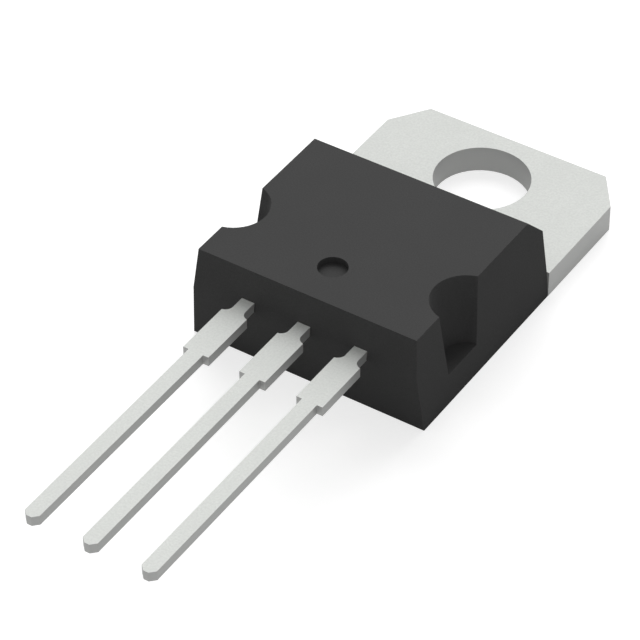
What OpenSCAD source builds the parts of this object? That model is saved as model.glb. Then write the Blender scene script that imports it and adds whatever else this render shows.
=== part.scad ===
// Insulated-gate bipolar transistor in a three-lead package with a screw-down tab.
// Units are millimetres. The mounting face lies on z = 0 and the marked face looks up.
// The origin is the centre of the mounting hole on the mounting face.
// The leads run towards -Y and the tab ends at +Y. Pins from -X to +X: gate, collector, emitter.

/* [Moulded body] */
// Width of the body at the mounting face
body_w = 10.55; // [10:0.01:11]
// Length of the body, from its parting line at the front to its rear wall
body_l = 9.54; // [9.2:0.01:10.4]
// Height of the body above the mounting face
body_h = 4.38; // [4.2:0.01:4.8]
// Draft of the two side walls, in degrees
side_draft = 5; // [2:0.5:7]
// Draft of the front wall below the parting line, in degrees
front_draft_low = 5.5; // [2:0.5:8]
// Draft of the front wall above the parting line, in degrees
front_draft_high = 6; // [2:0.5:9]
// Draft of the rear wall above the tab, in degrees
rear_draft = 4.5; // [2:0.5:8]
// Length of the bevel between the top face and the rear wall
bevel_l = 1.06; // [0.6:0.01:1.6]
// Height of the bevel between the top face and the rear wall
bevel_h = 1.06; // [0.6:0.01:1.6]

/* [Side notches] */
// Diameter of each side notch at the top face
notch_d = 2.9; // [2.4:0.05:3]
// Distance from the front parting line to the axis of the notches
notch_setback = 3.18; // [3:0.02:4.2]
// Height of the notch floor above the mounting face
notch_floor = 1.34; // [1.3:0.02:2]
// Draft of the notch wall, in degrees
notch_draft = 7.8; // [3:0.2:9]

/* [Ejector mark] */
// Diameter of the ejector-pin mark in the top face
mark_d = 1.21; // [0.8:0.01:1.8]
// Depth of the ejector-pin mark
mark_depth = 0.3; // [0.1:0.02:0.36]
// Distance from the front parting line to the centre of the mark
mark_setback = 2.06; // [1.6:0.02:3]

/* [Mounting tab] */
// Width of the tab
tab_w = 10.58; // [10:0.01:11]
// Thickness of the tab and header
tab_t = 1.19; // [1:0.01:1.27]
// Diameter of the mounting hole
hole_d = 4; // [3.4:0.02:4.2]
// Distance from the hole's centre to the end of the tab
hole_to_end = 2.82; // [2.5:0.01:3.4]
// Distance from the hole's centre to the body's rear wall
hole_to_body = 3.69; // [3:0.01:4.2]
// Width that each cut corner takes off the end of the tab
corner_x = 1.12; // [0.6:0.01:1.8]
// Length of each cut corner along the side of the tab
corner_y = 1.6; // [0.8:0.01:2.2]

/* [Leads] */
// Distance between the centres of neighbouring leads
pitch = 2.54; // [2.4:0.02:2.7]
// Height of the underside of the leads above the mounting face
lead_z = 2.54; // [2.3:0.01:2.7]
// Thickness of the leads
lead_t = 0.44; // [0.36:0.01:0.5]
// Length of the leads in front of the body
lead_l = 13.9; // [12.7:0.05:14.7]
// Width of the slim part of each lead
lead_w = 0.66; // [0.5:0.01:0.9]
// Width of the shoulder, the broad part nearer to the body
shoulder_w = 1.16; // [1.14:0.01:1.6]
// Distance from the body to the far end of the shoulder
shoulder_l = 3.47; // [2.8:0.01:4.2]
// Width of the neck between the shoulder and the body
neck_w = 0.58; // [0.46:0.01:0.9]
// Length of the neck between the shoulder and the body
neck_l = 0.89; // [0.6:0.01:1.4]
// Radius of the round cuts that take the shoulder down to the neck
neck_r = 0.34; // [0.3:0.01:0.5]
// Size of the two cut corners at the tip of each lead
tip_cut = 0.22; // [0.1:0.01:0.24]

/* [Header and bonding posts] */
// Width of the header that shows in the mounting face, flush with the body
header_w = 8.4; // [7.6:0.05:8.8]
// How far the header's upper edge overhangs on each side, to lock it in the moulding
header_lip = 0.3; // [0.1:0.02:0.4]
// Height of the underside of the overhanging edge
header_lip_z = 0.5; // [0.3:0.02:0.7]
// Distance from the front parting line to the front of the header
header_setback = 3.6; // [3.4:0.02:3.8]
// Width of the moisture groove across the header, just inside the rear wall
groove_w = 0.5; // [0.3:0.02:0.6]
// Depth of the moisture groove
groove_depth = 0.15; // [0.08:0.01:0.2]
// Width of the strap that joins the centre lead to the header
strap_w = 1.6; // [1:0.02:1.8]
// Radius of the two bends of the strap, at its middle plane
strap_bend_r = 0.45; // [0.36:0.01:0.55]
// Length of the flat start of the strap, at the level of the leads
strap_flat = 0.45; // [0.45:0.01:0.6]
// Distance from the top of the header down to the top of the strap, where they meet
strap_drop = 0.1; // [0.06:0.02:0.2]
// Distance from the front of the header to the corner of the strap's lower bend
strap_gap = 0.22; // [0.22:0.01:0.3]
// Width of each bonding post
post_w = 2.2; // [1.8:0.02:2.3]
// Distance from the front parting line to the front of each bonding post
post_front = 0.8; // [0.6:0.02:1]
// Distance from the front parting line to the rear of each bonding post
post_rear = 2.95; // [2.7:0.02:3.1]
// Radius of the corners of each bonding post
post_r = 0.3; // [0.1:0.02:0.5]

/* [Silicon and solder] */
// Width of the die
die_w = 4.2; // [3.6:0.05:5]
// Length of the die
die_l = 4.5; // [4:0.05:4.7]
// Thickness of the die
die_t = 0.2; // [0.1:0.01:0.3]
// Distance from the front of the header to the die
die_setback = 0.4; // [0.3:0.02:0.6]
// Thickness of the solder film under the die
solder_t = 0.05; // [0.03:0.01:0.1]
// How far the solder shows round the die
solder_edge = 0.12; // [0.05:0.01:0.2]

/* [Bond wires] */
// Diameter of the gate wire
gate_wire_d = 0.15; // [0.1:0.01:0.2]
// Diameter of each emitter wire
emitter_wire_d = 0.38; // [0.3:0.01:0.42]
// Distance between the two emitter wires, across the die
emitter_wire_gap = 0.9; // [0.8:0.02:1]
// Height of the top of the gate wire's centre line above the posts
gate_rise = 0.3; // [0.2:0.01:0.4]
// Height of the top of each emitter wire's centre line above the posts
emitter_rise = 0.58; // [0.4:0.01:0.65]
// Distance of the gate wire's die end from the two nearest edges of the die
gate_pad = 0.5; // [0.4:0.02:0.7]

/* [Hidden] */
$fn = 64;

// How far a cutting shape runs past the face that it cuts
over = 0.5;

// Places along Y, from the rear wall and the front parting line
rear_y = -hole_to_body;
front_y = rear_y - body_l;
header_y = front_y + header_setback;
post_front_y = front_y + post_front;
post_rear_y = front_y + post_rear;

// The mould closes on the underside of the leads
parting_z = lead_z;
post_top = lead_z + lead_t;
die_front_y = header_y + die_setback;
solder_top = tab_t + solder_t;
die_top = solder_top + die_t;

// How far the slim root of a lead runs into its bonding post or strap
root_lap = 0.15;

// Number of flats along each bend of the strap
bend_steps = round($fn / 10);

// Ends of the emitter wires: the die's middle and the middle of the emitter post
emitter_die_x = die_w / 5;
emitter_die_y = die_front_y + die_l / 2;
post_mid_y = (post_front_y + post_rear_y) / 2;

module side_profile() {
    rear_top_y = rear_y - (body_h - bevel_h - tab_t) * tan(rear_draft);
    polygon([
        [front_y + parting_z * tan(front_draft_low), 0],
        [front_y, parting_z],
        [front_y + (body_h - parting_z) * tan(front_draft_high), body_h],
        [rear_top_y - bevel_l, body_h],
        [rear_top_y, body_h - bevel_h],
        [rear_y, tab_t],
        [rear_y, 0],
    ]);
}

module end_profile() {
    top_w = body_w - 2 * body_h * tan(side_draft);
    polygon([[-body_w / 2, 0], [body_w / 2, 0], [top_w / 2, body_h], [-top_w / 2, body_h]]);
}

// The drafted block that the cavity of the mould would fill
module mould_block() {
    intersection() {
        rotate([90, 0, 90])
            linear_extrude(body_w + 2 * over, center = true) side_profile();
        translate([0, rear_y + over, 0]) rotate([90, 0, 0])
            linear_extrude(body_l + 2 * over) end_profile();
    }
}

// One tapered notch; its axis stands on the lower edge of the side wall
module notch(side) {
    depth = body_h - notch_floor;
    grow = tan(notch_draft);
    translate([side * body_w / 2, front_y + notch_setback, notch_floor])
        cylinder(h = depth + over, d1 = notch_d - 2 * depth * grow, d2 = notch_d + 2 * over * grow);
}

module ejector_mark() {
    translate([0, front_y + mark_setback, body_h - mark_depth])
        cylinder(h = mark_depth + over, d = mark_d);
}

module tab_plan() {
    end_x = tab_w / 2 - corner_x;
    polygon([
        [-tab_w / 2, rear_y], [tab_w / 2, rear_y], [tab_w / 2, hole_to_end - corner_y],
        [end_x, hole_to_end], [-end_x, hole_to_end], [-tab_w / 2, hole_to_end - corner_y],
    ]);
}

module tab() {
    difference() {
        linear_extrude(tab_t) tab_plan();
        translate([0, 0, -over]) cylinder(h = tab_t + 2 * over, d = hole_d);
    }
}

// The header's section across: the upper edges overhang the face that shows
module header_profile() {
    x = header_w / 2;
    lip_x = x + header_lip;
    polygon([
        [-x, 0], [x, 0], [x, header_lip_z], [lip_x, header_lip_z],
        [lip_x, tab_t], [-lip_x, tab_t], [-lip_x, header_lip_z], [-x, header_lip_z],
    ]);
}

module header() {
    embed = over / 2;
    difference() {
        translate([0, rear_y + embed, 0]) rotate([90, 0, 0])
            linear_extrude(rear_y + embed - header_y) header_profile();
        rotate([90, 0, 90]) linear_extrude(tab_w, center = true) groove_profile();
    }
}

// A groove that keeps moisture from creeping in along the metal. It starts at the rear wall,
// where the end of the tab is its upright side, and its other side slopes.
module groove_profile() {
    slope_y = rear_y - groove_w;
    floor_z = tab_t - groove_depth;
    polygon([
        [slope_y, tab_t], [slope_y + groove_depth, floor_z], [rear_y + over, floor_z],
        [rear_y + over, tab_t + over], [slope_y, tab_t + over],
    ]);
}

// The collector lead is one strip with the strap: cut to its outline, then bent
module collector_lead() {
    intersection() {
        union() {
            linear_extrude(post_top + over) lead_plan();
            linear_extrude(post_top + over) bar(strap_w, -header_setback - over, -post_front);
        }
        translate([0, 0, lead_z]) rotate([90, 0, 90])
            linear_extrude(strap_w + 2 * over, center = true) bent_profile();
    }
}

// The collector lead and strap from the side, with z = 0 on the underside of the lead
module bent_profile() {
    high = lead_t / 2;
    low = tab_t - strap_drop - lead_t / 2 - lead_z;
    path = [
        [front_y - lead_l - over, high],
        [post_front_y + strap_flat, high],
        [header_y - strap_gap, low],
        [header_y + 2 * over, low],
    ];
    back = [for (i = [len(path) - 1 : -1 : 0]) path[i]];
    polygon([for (way = [path, back]) each strip_side(way, strap_bend_r, lead_t / 2)]);
}

// The left side of a strip that follows a path at a distance d, with round bends of radius r
function strip_side(path, r, d) =
    let (last = len(path) - 1)
    [
        path[0] + d * left_of(slope(path, 0)),
        for (i = [1 : last - 1]) each bend_side(path, i, r, d),
        path[last] + d * left_of(slope(path, last - 1)),
    ];

// The left side of the bend at point i of the path
function bend_side(path, i, r, d) =
    let (
        from = slope(path, i - 1),
        turn = slope(path, i) - from,
        hand = sign(turn),
        start = path[i] - r * tan(abs(turn) / 2) * [cos(from), sin(from)],
        centre = start + hand * r * left_of(from))
    [for (k = [0 : bend_steps])
        centre + (d - hand * r) * left_of(from + turn * k / bend_steps)];

// Slope of the stretch that starts at point i, in degrees
function slope(path, i) = atan2(path[i + 1].y - path[i].y, path[i + 1].x - path[i].x);

// The direction to the left of a slope
function left_of(angle) = [-sin(angle), cos(angle)];

// Outline of one lead seen from above, from its root inside the body to its tip
module lead_plan() {
    bar(neck_w, -post_front - root_lap, neck_l);
    bar(shoulder_w, neck_l, shoulder_l);
    bar(lead_w, shoulder_l, lead_l - tip_cut);
    for (side = [0, 1]) mirror([side, 0]) neck_blend();
    tip();
}

// The metal that a round cut leaves in the corner between neck and shoulder
module neck_blend() {
    step = (shoulder_w - neck_w) / 2;
    r = max(neck_r, step);
    rise = sqrt(r * r - pow(r - step, 2));
    translate([neck_w / 2, front_y - neck_l]) difference() {
        square([step, rise]);
        translate([r, rise]) circle(r);
    }
}

module tip() {
    root_y = front_y - lead_l + tip_cut;
    end_x = lead_w / 2 - tip_cut;
    polygon([
        [-lead_w / 2, root_y], [lead_w / 2, root_y],
        [end_x, root_y - tip_cut], [-end_x, root_y - tip_cut],
    ]);
}

// A bar of the lead's outline between two distances in front of the body
module bar(width, start, end) {
    translate([-width / 2, front_y - end]) square([width, end - start]);
}

module post_plan() {
    x = post_w / 2 - post_r;
    translate([-post_w / 2, post_front_y + post_r])
        square([post_w, post_rear_y - post_front_y - 2 * post_r]);
    translate([-x, post_front_y]) square([2 * x, post_rear_y - post_front_y]);
    for (side = [-1, 1], y = [post_front_y + post_r, post_rear_y - post_r])
        translate([side * x, y]) circle(post_r);
}

module outer_lead() {
    translate([0, 0, lead_z]) {
        linear_extrude(lead_t) lead_plan();
        linear_extrude(lead_t) post_plan();
    }
}

// One bond wire: an arc from a point on the die to a point on a post, and a flattened foot at each
// end. rise is the height of the top of its centre line above the post.
module bond_wire(from, to, d, rise) {
    reach = norm(to - from);
    up = post_top + rise - die_top;
    crest = arc_crest(reach, up, rise);
    r = (crest * crest + up * up) / (2 * up);
    sink = 180 * d / (PI * r);
    start = 90 - acos(1 - rise / r) - sink;
    end = 90 + acos(1 - up / r) + sink;
    translate([from.x, from.y, 0]) rotate([0, 0, atan2(to.y - from.y, to.x - from.x)]) {
        difference() {
            translate([crest, 0, post_top + rise - r]) rotate([90, 0, 0]) rotate([0, 0, start])
                rotate_extrude(angle = end - start) translate([r, 0]) circle(d = d);
            under_foot(0, die_top, d);
            under_foot(reach, post_top, d);
        }
        foot(0, die_top, d);
        foot(reach, post_top, d);
    }
}

// How far along from its low end an arc is at its top, when its ends are reach apart and
// lie up and down below the top
function arc_crest(reach, up, down) =
    let (k = up * reach * reach - up * down * (up - down))
    k / (up * reach + sqrt(pow(up * reach, 2) - (up - down) * k));

// The space under the surface that a foot is pressed on
module under_foot(x, surface, d) {
    side = 4 * d;
    translate([x - side / 2, -side / 2, surface - side]) cube(side);
}

// A wire's end, pressed flat. Its size is a share of the wire's diameter.
module foot(x, surface, d) {
    height = 0.4 * d;
    width = 1.6 * d;
    span = 3 * d - width;
    translate([x, 0, surface]) linear_extrude(height) {
        square([span, width], center = true);
        for (side = [-1, 1]) translate([side * span / 2, 0]) circle(d = width);
    }
}

module emitter_bond_wire(index) {
    shift = (index - 0.5) * emitter_wire_gap;
    bond_wire([emitter_die_x + shift, emitter_die_y], [pitch + shift, post_mid_y],
        emitter_wire_d, emitter_rise);
}

// The collector frame without its tab, which only meets the rear wall
module collector_root() {
    header();
    collector_lead();
}

// Everything that the moulding is cast round
module insert() {
    collector_root();
    gate_lead();
    emitter_lead();
    die_attach_solder();
    igbt_die();
    gate_bond_wire();
    emitter_bond_wire_1();
    emitter_bond_wire_2();
}

module molded_body() {
    color([0.17, 0.17, 0.17])
        difference() {
            mould_block();
            for (side = [-1, 1]) notch(side);
            ejector_mark();
            insert();
        }
}

module collector_frame() {
    color([0.8, 0.81, 0.79]) {
        tab();
        collector_root();
    }
}

module gate_lead() {
    color([0.8, 0.81, 0.79]) translate([-pitch, 0, 0]) outer_lead();
}

module emitter_lead() {
    color([0.8, 0.81, 0.79]) translate([pitch, 0, 0]) outer_lead();
}

module die_attach_solder() {
    color([0.6, 0.61, 0.62])
        translate([-die_w / 2 - solder_edge, die_front_y - solder_edge, tab_t])
        cube([die_w + 2 * solder_edge, die_l + 2 * solder_edge, solder_t]);
}

module igbt_die() {
    color([0.35, 0.37, 0.42])
        translate([-die_w / 2, die_front_y, solder_top]) cube([die_w, die_l, die_t]);
}

module gate_bond_wire() {
    color([0.88, 0.88, 0.89])
        bond_wire([gate_pad - die_w / 2, die_front_y + gate_pad], [-pitch, post_mid_y],
            gate_wire_d, gate_rise);
}

module emitter_bond_wire_1() {
    color([0.88, 0.88, 0.89]) emitter_bond_wire(0);
}

module emitter_bond_wire_2() {
    color([0.88, 0.88, 0.89]) emitter_bond_wire(1);
}

molded_body();
collector_frame();
gate_lead();
emitter_lead();
die_attach_solder();
igbt_die();
gate_bond_wire();
emitter_bond_wire_1();
emitter_bond_wire_2();
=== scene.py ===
import math

import bmesh
import bpy
from bpy.props import FloatProperty, FloatVectorProperty, PointerProperty
from bpy.types import Operator, Panel, PropertyGroup
from mathutils import Matrix, Vector


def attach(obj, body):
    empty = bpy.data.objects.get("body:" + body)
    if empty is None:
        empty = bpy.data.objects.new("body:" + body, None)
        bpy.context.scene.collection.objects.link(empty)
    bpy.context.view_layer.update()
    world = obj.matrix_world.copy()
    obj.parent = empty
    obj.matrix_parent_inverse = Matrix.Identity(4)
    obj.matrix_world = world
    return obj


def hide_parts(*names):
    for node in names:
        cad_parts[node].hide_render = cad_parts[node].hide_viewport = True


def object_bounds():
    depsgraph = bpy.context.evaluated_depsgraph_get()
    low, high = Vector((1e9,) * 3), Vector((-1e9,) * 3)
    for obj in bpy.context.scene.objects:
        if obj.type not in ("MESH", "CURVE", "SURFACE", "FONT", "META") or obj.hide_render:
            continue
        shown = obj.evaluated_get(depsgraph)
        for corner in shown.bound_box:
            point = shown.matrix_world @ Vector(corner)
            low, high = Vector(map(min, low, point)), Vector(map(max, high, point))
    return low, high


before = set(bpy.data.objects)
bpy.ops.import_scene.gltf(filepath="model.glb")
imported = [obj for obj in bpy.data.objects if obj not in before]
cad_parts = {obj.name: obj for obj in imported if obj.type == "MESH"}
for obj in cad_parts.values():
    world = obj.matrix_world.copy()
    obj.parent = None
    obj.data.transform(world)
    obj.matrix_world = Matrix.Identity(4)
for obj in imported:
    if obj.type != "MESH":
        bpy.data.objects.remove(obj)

bl_info = {
    "name": "Tab-mounted power transistor",
    "version": (1, 0, 0),
    "blender": (4, 5, 0),
    "location": "3D View > Sidebar > Transistor",
    "description": "Finishes the moulded body, lead frame and inner pieces of a power transistor",
    "category": "Object",
}

CAD_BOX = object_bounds()
MM = 0.001

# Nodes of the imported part, by the finish that they get
MOULDED_NODE = "molded_body"
STAMPED_NODES = ("collector_frame", "gate_lead", "emitter_lead")
WIRE_NODES = ("gate_bond_wire", "emitter_bond_wire_1", "emitter_bond_wire_2")
SOLDER_NODE = "die_attach_solder"
DIE_NODE = "igbt_die"

# Side notches and ejector mark: where they lie, and how near an edge lies that belongs to them
NOTCH_MIDDLE_Y = -10.05 * MM
NOTCH_REACH = 1.5 * MM
NOTCH_INNER_X = 3 * MM
NOTCH_FLOOR_Z = 1.34 * MM
MARK_MIDDLE_Y = -11.17 * MM
MARK_REACH = 0.7 * MM


# ---------------------------------------------------------------- settings

class MouldingSettings(PropertyGroup):
    """Size of the edges and grain of the moulded body."""
    edge_round: FloatProperty(
        name="Edge round", description="Width of the rounding on the body's edges",
        default=0.02 * MM, min=0, unit="LENGTH")
    recess_round: FloatProperty(
        name="Recess round",
        description="Width of the rounding in the side notches and the ejector mark",
        default=0.04 * MM, min=0, unit="LENGTH")
    corner_round: FloatProperty(
        name="Corner round", description="Rounding of the front corners above the parting line",
        default=0.14 * MM, min=0, unit="LENGTH")
    corner_round_low: FloatProperty(
        name="Lower corner round",
        description="Rounding of the front corners below the parting line",
        default=0.1 * MM, min=0, unit="LENGTH")
    grain_size: FloatProperty(
        name="Grain size", description="Size of the moulded surface's fine grain",
        default=0.06 * MM, min=0, unit="LENGTH")
    grain_depth: FloatProperty(
        name="Grain depth", description="Depth of the moulded surface's fine grain",
        default=0.0006 * MM, min=0, unit="LENGTH")
    colour: FloatVectorProperty(
        name="Compound", description="Colour of the epoxy compound",
        default=(0.0725, 0.0725, 0.0725), size=3, subtype="COLOR")
    roughness: FloatProperty(
        name="Roughness", description="Roughness of the moulded surface",
        default=0.8, min=0, max=1, subtype="FACTOR")
    gloss: FloatProperty(
        name="Gloss", description="Strength of the moulded surface's reflections",
        default=0.04, min=0, max=1, subtype="FACTOR")


class PlatingSettings(PropertyGroup):
    """Size of the edges and grain of the plated, stamped pieces."""
    edge_round: FloatProperty(
        name="Edge round", description="Width of the rounding on the stamped edges",
        default=0.014 * MM, min=0, unit="LENGTH")
    grain_size: FloatProperty(
        name="Grain size", description="Size of the crystals of the matte plating",
        default=0.09 * MM, min=0, unit="LENGTH")
    grain_depth: FloatProperty(
        name="Grain depth", description="Depth of the grain of the matte plating",
        default=0.0008 * MM, min=0, unit="LENGTH")
    colour: FloatVectorProperty(
        name="Tin", description="Colour of the matte tin plating",
        default=(0.785, 0.802, 0.776), size=3, subtype="COLOR")
    # The edge colour is darker than the tin: partly the sheared faces' duller finish, and partly
    # painted shade for the less light that upright faces get
    shaded_edge_colour: FloatVectorProperty(
        name="Sheared edge and shade", description="Colour of the plating on the sheared edges",
        default=(0.412, 0.416, 0.408), size=3, subtype="COLOR")
    roughness: FloatProperty(
        name="Roughness", description="Roughness of the matte plating",
        default=0.57, min=0, max=1, subtype="FACTOR")
    edge_roughness: FloatProperty(
        name="Edge roughness", description="Roughness of the sheared edges",
        default=0.55, min=0, max=1, subtype="FACTOR")


class InnerSettings(PropertyGroup):
    """Colours of the pieces that are sealed in the moulding."""
    solder: FloatVectorProperty(
        name="Solder", description="Colour of the solder film",
        default=(0.42, 0.42, 0.44), size=3, subtype="COLOR")
    silicon: FloatVectorProperty(
        name="Silicon", description="Colour of the silicon",
        default=(0.12, 0.13, 0.17), size=3, subtype="COLOR")
    wire: FloatVectorProperty(
        name="Wire", description="Colour of the aluminium wire",
        default=(0.78, 0.78, 0.79), size=3, subtype="COLOR")


class StageSettings(PropertyGroup):
    """Camera, lights and floor."""
    aim: FloatVectorProperty(
        name="Aim", description="Point that the middle of the view looks at",
        default=(0.385 * MM, -12.661 * MM, 3.0 * MM), size=3, subtype="TRANSLATION")
    azimuth: FloatProperty(
        name="Azimuth", description="Angle round the part; 0 looks along +Y",
        default=math.radians(33.12), subtype="ANGLE")
    elevation: FloatProperty(
        name="Elevation", description="Angle above the horizon",
        default=math.radians(41.07), subtype="ANGLE")
    roll: FloatProperty(
        name="Roll", description="Turn of the camera about its line of sight",
        default=math.radians(0.17), subtype="ANGLE")
    distance: FloatProperty(
        name="Distance", description="From the camera to the point that it looks at",
        default=127.26 * MM, unit="LENGTH")
    lens: FloatProperty(
        name="Focal length", description="Focal length on a 36 mm wide sensor, in millimetres",
        default=189.3)
    key_size: FloatProperty(
        name="Key size", description="Side of the square panel behind the part",
        default=420 * MM, unit="LENGTH")
    key_distance: FloatProperty(
        name="Key distance", description="From the key panel to the middle of the part",
        default=420 * MM, unit="LENGTH")
    key_azimuth: FloatProperty(
        name="Key azimuth", description="Angle round the part; 0 lies at its leads",
        default=math.radians(-150), subtype="ANGLE")
    key_elevation: FloatProperty(
        name="Key elevation", description="Angle of the key panel above the horizon",
        default=math.radians(40), subtype="ANGLE")
    key_level: FloatProperty(
        name="Key level", description="Brightness of the key panel's face",
        default=3.72, min=0)
    card_size: FloatProperty(
        name="Card size", description="Side of the square card overhead",
        default=145 * MM, unit="LENGTH")
    card_distance: FloatProperty(
        name="Card distance", description="From the card to the middle of the part",
        default=170 * MM, unit="LENGTH")
    card_level: FloatProperty(
        name="Card level", description="Brightness of the card in reflections",
        default=0.7, min=0)
    sky_level: FloatProperty(
        name="Sky level", description="Brightness of the light from all round",
        default=0.47, min=0)
    floor_seen: FloatProperty(
        name="Floor as seen", description="How pale the floor looks",
        default=0.5, min=0, max=1, subtype="FACTOR")
    floor_glow: FloatProperty(
        name="Floor glow", description="Paleness that the floor keeps in the part's shadow",
        default=0.7, min=0, max=1, subtype="FACTOR")
    floor_bounce: FloatProperty(
        name="Floor bounce", description="How much light the floor throws back on the part",
        default=0.64, min=0, max=1, subtype="FACTOR")


# ---------------------------------------------------------------- shared shader groups

# Share of a face's normal that points up or down: the face counts as sheared, and gets the darker
# edge colour as painted shade, up to the first, and as rolled from the second on
SHEARED_AND_SHADED_TILT = 0.7
ROLLED_TILT = 0.98


class GroupBuilder:
    """A shader node group with named sockets, which its functions fill."""

    def __init__(self, name, inputs, outputs):
        self.tree = bpy.data.node_groups.new(name, "ShaderNodeTree")
        for label, kind, default in inputs:
            socket = self.tree.interface.new_socket(label, in_out="INPUT", socket_type=kind)
            socket.default_value = default
        for label, kind in outputs:
            self.tree.interface.new_socket(label, in_out="OUTPUT", socket_type=kind)
        self.start = self.tree.nodes.new("NodeGroupInput")
        self.end = self.tree.nodes.new("NodeGroupOutput")

    def add(self, kind, **settings):
        """A new node with the given settings."""
        node = self.tree.nodes.new(kind)
        for key, value in settings.items():
            setattr(node, key, value)
        return node

    def link(self, source, target):
        """Links an output to an input."""
        self.tree.links.new(source, target)


def patches(group, detail, roughness, low, high):
    """A 0-1 mask of noise as coarse as the group's Size, spread between low and high."""
    place = group.add("ShaderNodeTexCoord")
    count = group.add("ShaderNodeMath", operation="DIVIDE")
    count.inputs[0].default_value = 1
    group.link(group.start.outputs["Size"], count.inputs[1])
    scale = group.add("ShaderNodeVectorMath", operation="SCALE")
    group.link(place.outputs["Object"], scale.inputs[0])
    group.link(count.outputs[0], scale.inputs["Scale"])
    noise = group.add("ShaderNodeTexNoise")
    noise.inputs["Scale"].default_value = 1
    noise.inputs["Detail"].default_value = detail
    noise.inputs["Roughness"].default_value = roughness
    group.link(scale.outputs[0], noise.inputs["Vector"])
    spread = group.add("ShaderNodeMapRange")
    spread.inputs["From Min"].default_value = low
    spread.inputs["From Max"].default_value = high
    group.link(noise.outputs["Fac"], spread.inputs["Value"])
    return spread.outputs[0]


def fine_grain_group():
    """Fine, even grain: a 0-1 mask and a height for a Bump node."""
    group = GroupBuilder(
        "Fine grain",
        [("Size", "NodeSocketFloat", 0.05 * MM), ("Depth", "NodeSocketFloat", 0.001 * MM)],
        [("Mask", "NodeSocketFloat"), ("Height", "NodeSocketFloat")])
    mask = patches(group, detail=3, roughness=0.6, low=0.3, high=0.7)
    height = group.add("ShaderNodeMath", operation="MULTIPLY")
    group.link(mask, height.inputs[0])
    group.link(group.start.outputs["Depth"], height.inputs[1])
    group.link(mask, group.end.inputs["Mask"])
    group.link(height.outputs[0], group.end.inputs["Height"])
    return group.tree


def cloudy_tone_group():
    """Wide, soft patches that vary a finish a little: a 0-1 mask."""
    group = GroupBuilder(
        "Cloudy tone", [("Size", "NodeSocketFloat", 2 * MM)], [("Mask", "NodeSocketFloat")])
    mask = patches(group, detail=2, roughness=0.5, low=0.35, high=0.65)
    group.link(mask, group.end.inputs["Mask"])
    return group.tree


def sheared_and_shaded_edge_group():
    """The upright faces, which the press sheared and which get painted shade: a 0-1 mask."""
    group = GroupBuilder("Sheared edge and shade", [], [("Mask", "NodeSocketFloat")])
    place = group.add("ShaderNodeTexCoord")
    axes = group.add("ShaderNodeSeparateXYZ")
    group.link(place.outputs["Normal"], axes.inputs[0])
    tilt = group.add("ShaderNodeMath", operation="ABSOLUTE")
    group.link(axes.outputs["Z"], tilt.inputs[0])
    spread = group.add("ShaderNodeMapRange")
    spread.inputs["From Min"].default_value = SHEARED_AND_SHADED_TILT
    spread.inputs["From Max"].default_value = ROLLED_TILT
    spread.inputs["To Min"].default_value = 1
    spread.inputs["To Max"].default_value = 0
    group.link(tilt.outputs[0], spread.inputs["Value"])
    group.link(spread.outputs[0], group.end.inputs["Mask"])
    return group.tree


def shader_groups():
    """The shared groups, each made when it is first asked for."""
    names = {
        "grain": ("Fine grain", fine_grain_group),
        "cloud": ("Cloudy tone", cloudy_tone_group),
        "sheared_and_shaded": ("Sheared edge and shade", sheared_and_shaded_edge_group),
    }
    return {
        key: bpy.data.node_groups.get(name) or make() for key, (name, make) in names.items()}


# ---------------------------------------------------------------- materials

# Moulding compound: size of its soft patches, tone of the darkest and of the palest, tone of the
# grain's pits, and how far the grain moves the roughness either way
COMPOUND_PATCH = 3 * MM
COMPOUND_DARKEST = 0.97
COMPOUND_PALEST = 1.03
COMPOUND_PIT = 0.84
COMPOUND_ROUGH_STEP = 0.04

# Tin plating: the same sizes and tones, and how metallic its rolled and its sheared faces are
PLATING_PATCH = 1.5 * MM
PLATING_DARKEST = 0.985
PLATING_PALEST = 1.015
PLATING_PIT = 0.9
PLATING_METALLIC = 0.7
SHEARED_METALLIC = 0.65

# Sealed pieces: depth of their grain, and how far it moves the tone and roughness either way
INNER_GRAIN_DEPTH = 0.0005 * MM
INNER_SPREAD = 0.1


class Finish:
    """A material whose Principled shader is fed by the shared groups."""

    def __init__(self, name):
        self.material = bpy.data.materials.new(name)
        self.material.use_nodes = True
        self.nodes = self.material.node_tree.nodes
        self.links = self.material.node_tree.links
        self.nodes.clear()
        output = self.nodes.new("ShaderNodeOutputMaterial")
        self.shader = self.nodes.new("ShaderNodeBsdfPrincipled")
        self.links.new(self.shader.outputs[0], output.inputs["Surface"])

    def group(self, tree, **values):
        """A shared group with this material's own values."""
        node = self.nodes.new("ShaderNodeGroup")
        node.node_tree = tree
        for label, value in values.items():
            node.inputs[label].default_value = value
        return node

    def vary(self, mask, low, high):
        """A value between low and high that follows a mask."""
        node = self.nodes.new("ShaderNodeMapRange")
        node.inputs["To Min"].default_value = low
        node.inputs["To Max"].default_value = high
        self.links.new(mask, node.inputs["Value"])
        return node.outputs[0]

    def blend(self, factor, first, second):
        """A colour between two others that follows a mask. Either may be a socket."""
        node = self.nodes.new("ShaderNodeMix")
        node.data_type = "RGBA"
        self.links.new(factor, node.inputs["Factor"])
        for name, colour in (("A", first), ("B", second)):
            socket = next(i for i in node.inputs if i.name == name and i.type == "RGBA")
            if isinstance(colour, bpy.types.NodeSocket):
                self.links.new(colour, socket)
            else:
                socket.default_value = (*colour, 1)
        return next(o for o in node.outputs if o.type == "RGBA")

    def feed(self, name, source):
        """Links a source to the shader's socket of this name."""
        self.links.new(source, self.shader.inputs[name])

    def bump(self, height):
        """Bends the shader's normal by a height in metres."""
        node = self.nodes.new("ShaderNodeBump")
        node.inputs["Strength"].default_value = 1
        node.inputs["Distance"].default_value = 1
        self.links.new(height, node.inputs["Height"])
        self.feed("Normal", node.outputs[0])


def tinted(colour, factor):
    """The colour, made darker or paler by a factor."""
    return tuple(channel * factor for channel in colour)


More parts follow.
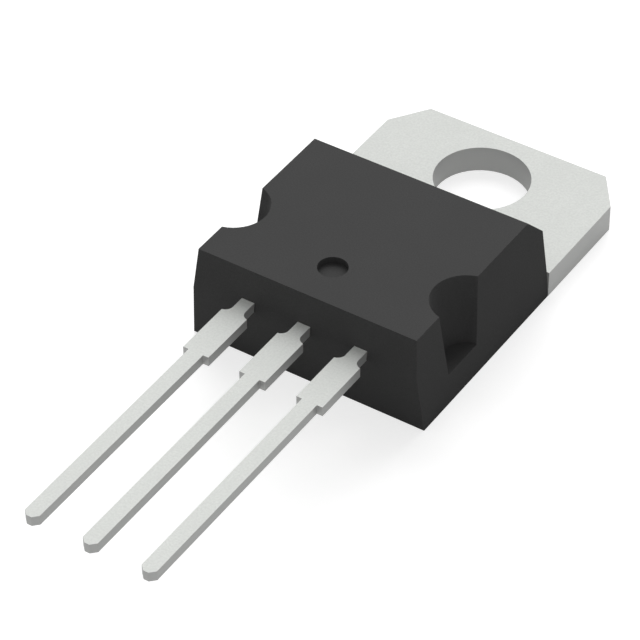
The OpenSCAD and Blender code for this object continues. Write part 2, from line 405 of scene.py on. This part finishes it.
def moulded_finish(settings):
    """Matte charcoal epoxy compound with the fine grain of a spark-eroded mould."""
    groups = shader_groups()
    finish = Finish("mould_compound")
    grain = finish.group(groups["grain"], Size=settings.grain_size, Depth=settings.grain_depth)
    cloud = finish.group(groups["cloud"], Size=COMPOUND_PATCH)
    base = finish.blend(
        cloud.outputs["Mask"], tinted(settings.colour, COMPOUND_DARKEST),
        tinted(settings.colour, COMPOUND_PALEST))
    speckled = finish.blend(
        grain.outputs["Mask"], tinted(settings.colour, COMPOUND_PIT), base)
    finish.feed("Base Color", speckled)
    rough = finish.vary(
        grain.outputs["Mask"], settings.roughness - COMPOUND_ROUGH_STEP,
        settings.roughness + COMPOUND_ROUGH_STEP)
    finish.feed("Roughness", rough)
    finish.shader.inputs["Specular IOR Level"].default_value = settings.gloss
    finish.bump(grain.outputs["Height"])
    return finish.material


def plated_finish(settings):
    """Matte tin over stamped copper: pale and fine-grained; the upright, sheared faces are darker,
    partly for their duller finish and partly as painted shade.
    """
    groups = shader_groups()
    finish = Finish("tinned_copper")
    grain = finish.group(groups["grain"], Size=settings.grain_size, Depth=settings.grain_depth)
    cloud = finish.group(groups["cloud"], Size=PLATING_PATCH)
    sheared_and_shaded = finish.group(groups["sheared_and_shaded"]).outputs["Mask"]
    base = finish.blend(
        cloud.outputs["Mask"], tinted(settings.colour, PLATING_DARKEST),
        tinted(settings.colour, PLATING_PALEST))
    speckled = finish.blend(
        grain.outputs["Mask"], tinted(settings.colour, PLATING_PIT), base)
    # Upright faces take the darker edge colour: painted shade for the less light they get, on top
    # of their duller sheared finish
    finish.feed("Base Color", finish.blend(sheared_and_shaded, speckled, settings.shaded_edge_colour))
    finish.feed("Metallic", finish.vary(sheared_and_shaded, PLATING_METALLIC, SHEARED_METALLIC))
    rough = finish.vary(sheared_and_shaded, settings.roughness, settings.edge_roughness)
    finish.feed("Roughness", rough)
    finish.bump(grain.outputs["Height"])
    return finish.material


def inner_finish(name, colour, metallic, roughness, grain_size):
    """A sealed piece's finish: one tone with a light grain in colour and gloss."""
    finish = Finish(name)
    grain = finish.group(
        shader_groups()["grain"], Size=grain_size, Depth=INNER_GRAIN_DEPTH)
    low, high = 1 - INNER_SPREAD, 1 + INNER_SPREAD
    finish.feed("Base Color", finish.blend(
        grain.outputs["Mask"], tinted(colour, low), tinted(colour, high)))
    finish.shader.inputs["Metallic"].default_value = metallic
    finish.feed("Roughness", finish.vary(
        grain.outputs["Mask"], roughness * low, roughness * high))
    finish.bump(grain.outputs["Height"])
    return finish.material


# ---------------------------------------------------------------- meshes

# Faces that turn by less than the first angle become one, and an edge that turns by more than the
# second is rounded
FLAT_LIMIT = math.radians(1)
SHARP_LIMIT = math.radians(28)

WELD_DISTANCE = 0.0005 * MM
ROUND_SEGMENTS = 4
WEIGHT_LAYER = "bevel_weight_edge"

# Least share of a normal that points forward on a front wall or sideways on a side wall, and least
# share of the body's half width at which an edge belongs to a corner
FACING_LIMIT = 0.9
CORNER_LIMIT = 0.9


def clean_copy(node_name):
    """A copy of a CAD node's mesh, welded and with its flat stretches as whole faces."""
    work = bmesh.new()
    work.from_mesh(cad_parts[node_name].data)
    bmesh.ops.remove_doubles(work, verts=work.verts, dist=WELD_DISTANCE)
    bmesh.ops.dissolve_limit(
        work, angle_limit=FLAT_LIMIT, use_dissolve_boundaries=False,
        verts=work.verts, edges=work.edges)
    bmesh.ops.recalc_face_normals(work, faces=work.faces)
    return work


def in_recess(place):
    """Whether a place on the body lies at a side notch or at the ejector mark."""
    in_notch = (
        abs(place.y - NOTCH_MIDDLE_Y) < NOTCH_REACH
        and abs(place.x) > NOTCH_INNER_X
        and place.z > NOTCH_FLOOR_Z / 2)
    in_mark = math.hypot(place.x, place.y - MARK_MIDDLE_Y) < MARK_REACH
    return in_notch or in_mark


def is_sharp(edge):
    """Whether two faces meet at the edge and turn enough to be rounded."""
    return len(edge.link_faces) == 2 and edge.calc_face_angle(0) > SHARP_LIMIT


def rounded_piece(name, work, material, widest, width_of):
    """A piece whose sharp edges are rounded, each by the width that width_of gives."""
    layer = work.edges.layers.float.new(WEIGHT_LAYER)
    for edge in work.edges:
        if is_sharp(edge):
            edge[layer] = width_of(edge) / widest
    for face in work.faces:
        face.smooth = True
    mesh = bpy.data.meshes.new(name)
    work.to_mesh(mesh)
    work.free()
    mesh.materials.append(material)
    piece = bpy.data.objects.new(name, mesh)
    bpy.context.scene.collection.objects.link(piece)
    rounding = piece.modifiers.new("rounding", "BEVEL")
    rounding.limit_method = "WEIGHT"
    rounding.width = widest
    rounding.segments = ROUND_SEGMENTS
    rounding.face_strength_mode = "FSTR_AFFECTED"
    shading = piece.modifiers.new("shading", "WEIGHTED_NORMAL")
    shading.use_face_influence = True
    return piece


# ---------------------------------------------------------------- stage

# Camera: width of its sensor in millimetres, and the nearest and farthest that it sees
SENSOR_WIDTH = 36
CLIP_START = 5 * MM
CLIP_END = 5

# Floor: how far it reaches each way, how far it lies under the part, and the colour of its glow
FLOOR_REACH = 1.5
FLOOR_DROP = 0.002 * MM
WHITE = (1, 1, 1, 1)


def direction(azimuth, elevation):
    """Unit vector towards something at these angles; azimuth 0 lies at the leads."""
    return Vector((
        math.sin(azimuth) * math.cos(elevation),
        -math.cos(azimuth) * math.cos(elevation),
        math.sin(elevation)))


def place_camera(settings):
    """Looks at the aim point from the given angle and distance."""
    azimuth, elevation, roll = settings.azimuth, settings.elevation, settings.roll
    back = direction(azimuth, elevation)
    level = Vector((math.cos(azimuth), math.sin(azimuth), 0))
    upright = back.cross(level)
    right = level * math.cos(roll) - upright * math.sin(roll)
    up = level * math.sin(roll) + upright * math.cos(roll)
    camera_data = bpy.data.cameras.new("camera")
    camera_data.sensor_width = SENSOR_WIDTH
    camera_data.lens = settings.lens
    camera_data.clip_start = CLIP_START
    camera_data.clip_end = CLIP_END
    camera = bpy.data.objects.new("camera", camera_data)
    place = Matrix.Translation(Vector(settings.aim) + back * settings.distance)
    turn = Matrix((right, up, back)).transposed().to_4x4()
    camera.matrix_world = place @ turn
    bpy.context.scene.collection.objects.link(camera)
    bpy.context.scene.camera = camera


def seen_directly(nodes, links):
    """1 where the camera, a reflection or something clear looks at the surface, otherwise 0."""
    path = nodes.new("ShaderNodeLightPath")
    total = path.outputs["Is Camera Ray"]
    for name in ("Is Glossy Ray", "Is Transmission Ray"):
        join = nodes.new("ShaderNodeMath")
        join.operation = "MAXIMUM"
        links.new(total, join.inputs[0])
        links.new(path.outputs[name], join.inputs[1])
        total = join.outputs[0]
    return total


def make_floor(settings):
    """A wide, plain, pale floor that keeps the part's shadow."""
    mesh = bpy.data.meshes.new("floor")
    corners = [
        (x * FLOOR_REACH, y * FLOOR_REACH, 0) for x, y in ((-1, -1), (1, -1), (1, 1), (-1, 1))]
    mesh.from_pydata(corners, [], [(0, 1, 2, 3)])
    floor = bpy.data.objects.new("floor", mesh)
    floor.location.z = -FLOOR_DROP
    bpy.context.scene.collection.objects.link(floor)
    material = bpy.data.materials.new("floor")
    material.use_nodes = True
    nodes, links = material.node_tree.nodes, material.node_tree.links
    nodes.clear()
    tone = nodes.new("ShaderNodeMapRange")
    tone.inputs["To Min"].default_value = settings.floor_bounce
    tone.inputs["To Max"].default_value = settings.floor_seen
    links.new(seen_directly(nodes, links), tone.inputs["Value"])
    glow = nodes.new("ShaderNodeMapRange")
    glow.inputs["To Min"].default_value = 0
    glow.inputs["To Max"].default_value = settings.floor_glow
    links.new(seen_directly(nodes, links), glow.inputs["Value"])
    surface = nodes.new("ShaderNodeBsdfPrincipled")
    surface.inputs["Roughness"].default_value = 1
    surface.inputs["Specular IOR Level"].default_value = 0
    surface.inputs["Emission Color"].default_value = WHITE
    links.new(tone.outputs[0], surface.inputs["Base Color"])
    links.new(glow.outputs[0], surface.inputs["Emission Strength"])
    output = nodes.new("ShaderNodeOutputMaterial")
    links.new(surface.outputs[0], output.inputs["Surface"])
    mesh.materials.append(material)


def make_sky(settings):
    """Even light from all round; it looks white where it is seen."""
    world = bpy.data.worlds.new("sky")
    bpy.context.scene.world = world
    world.use_nodes = True
    nodes, links = world.node_tree.nodes, world.node_tree.links
    nodes.clear()
    level = nodes.new("ShaderNodeMapRange")
    level.inputs["To Min"].default_value = settings.sky_level
    level.inputs["To Max"].default_value = 1
    links.new(seen_directly(nodes, links), level.inputs["Value"])
    sky = nodes.new("ShaderNodeBackground")
    links.new(level.outputs[0], sky.inputs["Strength"])
    output = nodes.new("ShaderNodeOutputWorld")
    links.new(sky.outputs[0], output.inputs["Surface"])


def make_panel(name, size, distance, towards, level):
    """A square panel that faces the middle of the part; its face has the given brightness."""
    lamp = bpy.data.lights.new(name, "AREA")
    lamp.shape = "SQUARE"
    lamp.size = size
    lamp.energy = level * math.pi * size ** 2
    panel = bpy.data.objects.new(name, lamp)
    low, high = (Vector(corner) for corner in CAD_BOX)
    panel.location = (low + high) / 2 + towards * distance
    panel.rotation_euler = towards.to_track_quat("Z", "Y").to_euler()
    bpy.context.scene.collection.objects.link(panel)
    return panel


def make_lamps(settings):
    """A key panel behind the part and a card overhead that only its reflections show."""
    key = make_panel(
        "key_panel", settings.key_size, settings.key_distance,
        direction(settings.key_azimuth, settings.key_elevation), settings.key_level)
    key.visible_glossy = False
    card = make_panel(
        "top_card", settings.card_size, settings.card_distance, Vector((0, 0, 1)),
        settings.card_level)
    card.visible_diffuse = False


# ---------------------------------------------------------------- operators

def cad_material(node_name, material):
    """Puts a material on a CAD node that keeps its own mesh."""
    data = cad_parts[node_name].data
    data.materials.clear()
    data.materials.append(material)


class TRANSISTOR_OT_moulding(Operator):
    """Round the moulded body's edges and give it the compound's finish"""
    bl_idname = "transistor.moulding"
    bl_label = "Moulded body"

    def execute(self, context):
        settings = context.scene.transistor_moulding
        half_width, _, height = CAD_BOX[1]

        def width_of(edge):
            """The rounding of one edge, by its place on the body."""
            facing = [face.normal for face in edge.link_faces]
            front = min(normal.y for normal in facing) < -FACING_LIMIT
            side = max(abs(normal.x) for normal in facing) > FACING_LIMIT
            middle = (edge.verts[0].co + edge.verts[1].co) / 2
            if in_recess(middle):
                return settings.recess_round
            if not (front and side) or abs(middle.x) < half_width * CORNER_LIMIT:
                return settings.edge_round
            if middle.z > height / 2:
                return settings.corner_round
            return settings.corner_round_low

        piece = rounded_piece(
            "molded_body_rounded", clean_copy(MOULDED_NODE), moulded_finish(settings),
            settings.corner_round, width_of)
        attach(piece, "root")
        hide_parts(MOULDED_NODE)
        return {"FINISHED"}


class TRANSISTOR_OT_stampings(Operator):
    """Round the stamped pieces' edges and give them the matte tin finish"""
    bl_idname = "transistor.stampings"
    bl_label = "Stamped pieces"

    def execute(self, context):
        settings = context.scene.transistor_plating
        material = plated_finish(settings)
        for name in STAMPED_NODES:
            piece = rounded_piece(
                name + "_rounded", clean_copy(name), material, settings.edge_round,
                lambda edge: settings.edge_round)
            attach(piece, "root")
            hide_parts(name)
        return {"FINISHED"}


class TRANSISTOR_OT_inner_pieces(Operator):
    """Give the die, its solder and the bond wires their finishes"""
    bl_idname = "transistor.inner_pieces"
    bl_label = "Inner pieces"

    def execute(self, context):
        settings = context.scene.transistor_inner
        cad_material(SOLDER_NODE, inner_finish(
            "solder", settings.solder, metallic=0.9, roughness=0.45, grain_size=0.1 * MM))
        cad_material(DIE_NODE, inner_finish(
            "silicon", settings.silicon, metallic=0.4, roughness=0.22, grain_size=0.3 * MM))
        aluminium = inner_finish(
            "bond_aluminium", settings.wire, metallic=1, roughness=0.35, grain_size=0.05 * MM)
        for name in WIRE_NODES:
            cad_material(name, aluminium)
        return {"FINISHED"}


class TRANSISTOR_OT_stage(Operator):
    """Set up the floor, the lights and the camera"""
    bl_idname = "transistor.stage"
    bl_label = "Stage"

    def execute(self, context):
        settings = context.scene.transistor_stage
        context.scene.view_settings.view_transform = "Standard"
        make_floor(settings)
        make_sky(settings)
        make_lamps(settings)
        place_camera(settings)
        return {"FINISHED"}


class TRANSISTOR_PT_sidebar(Panel):
    """Lists the transistor's operators and settings"""
    bl_label = "Transistor"
    bl_idname = "TRANSISTOR_PT_sidebar"
    bl_space_type = "VIEW_3D"
    bl_region_type = "UI"
    bl_category = "Transistor"

    def draw(self, context):
        for operator, group in STEPS:
            box = self.layout.box()
            box.operator(operator.bl_idname)
            settings = getattr(context.scene, group)
            for key in settings.__annotations__:
                box.prop(settings, key)


# ---------------------------------------------------------------- registration

SETTINGS = {
    "transistor_moulding": MouldingSettings,
    "transistor_plating": PlatingSettings,
    "transistor_inner": InnerSettings,
    "transistor_stage": StageSettings,
}

STEPS = (
    (TRANSISTOR_OT_moulding, "transistor_moulding"),
    (TRANSISTOR_OT_stampings, "transistor_plating"),
    (TRANSISTOR_OT_inner_pieces, "transistor_inner"),
    (TRANSISTOR_OT_stage, "transistor_stage"),
)


def register():
    """Adds the settings, operators and panel."""
    for name, group in SETTINGS.items():
        bpy.utils.register_class(group)
        setattr(bpy.types.Scene, name, PointerProperty(type=group))
    for operator, _ in STEPS:
        bpy.utils.register_class(operator)
    bpy.utils.register_class(TRANSISTOR_PT_sidebar)


def unregister():
    """Takes the panel, operators and settings away."""
    bpy.utils.unregister_class(TRANSISTOR_PT_sidebar)
    for operator, _ in reversed(STEPS):
        bpy.utils.unregister_class(operator)
    for name, group in reversed(SETTINGS.items()):
        delattr(bpy.types.Scene, name)
        bpy.utils.unregister_class(group)


def main():
    """Builds the whole scene."""
    register()
    bpy.ops.transistor.moulding()
    bpy.ops.transistor.stampings()
    bpy.ops.transistor.inner_pieces()
    bpy.ops.transistor.stage()


if __name__ == "__main__":
    main()
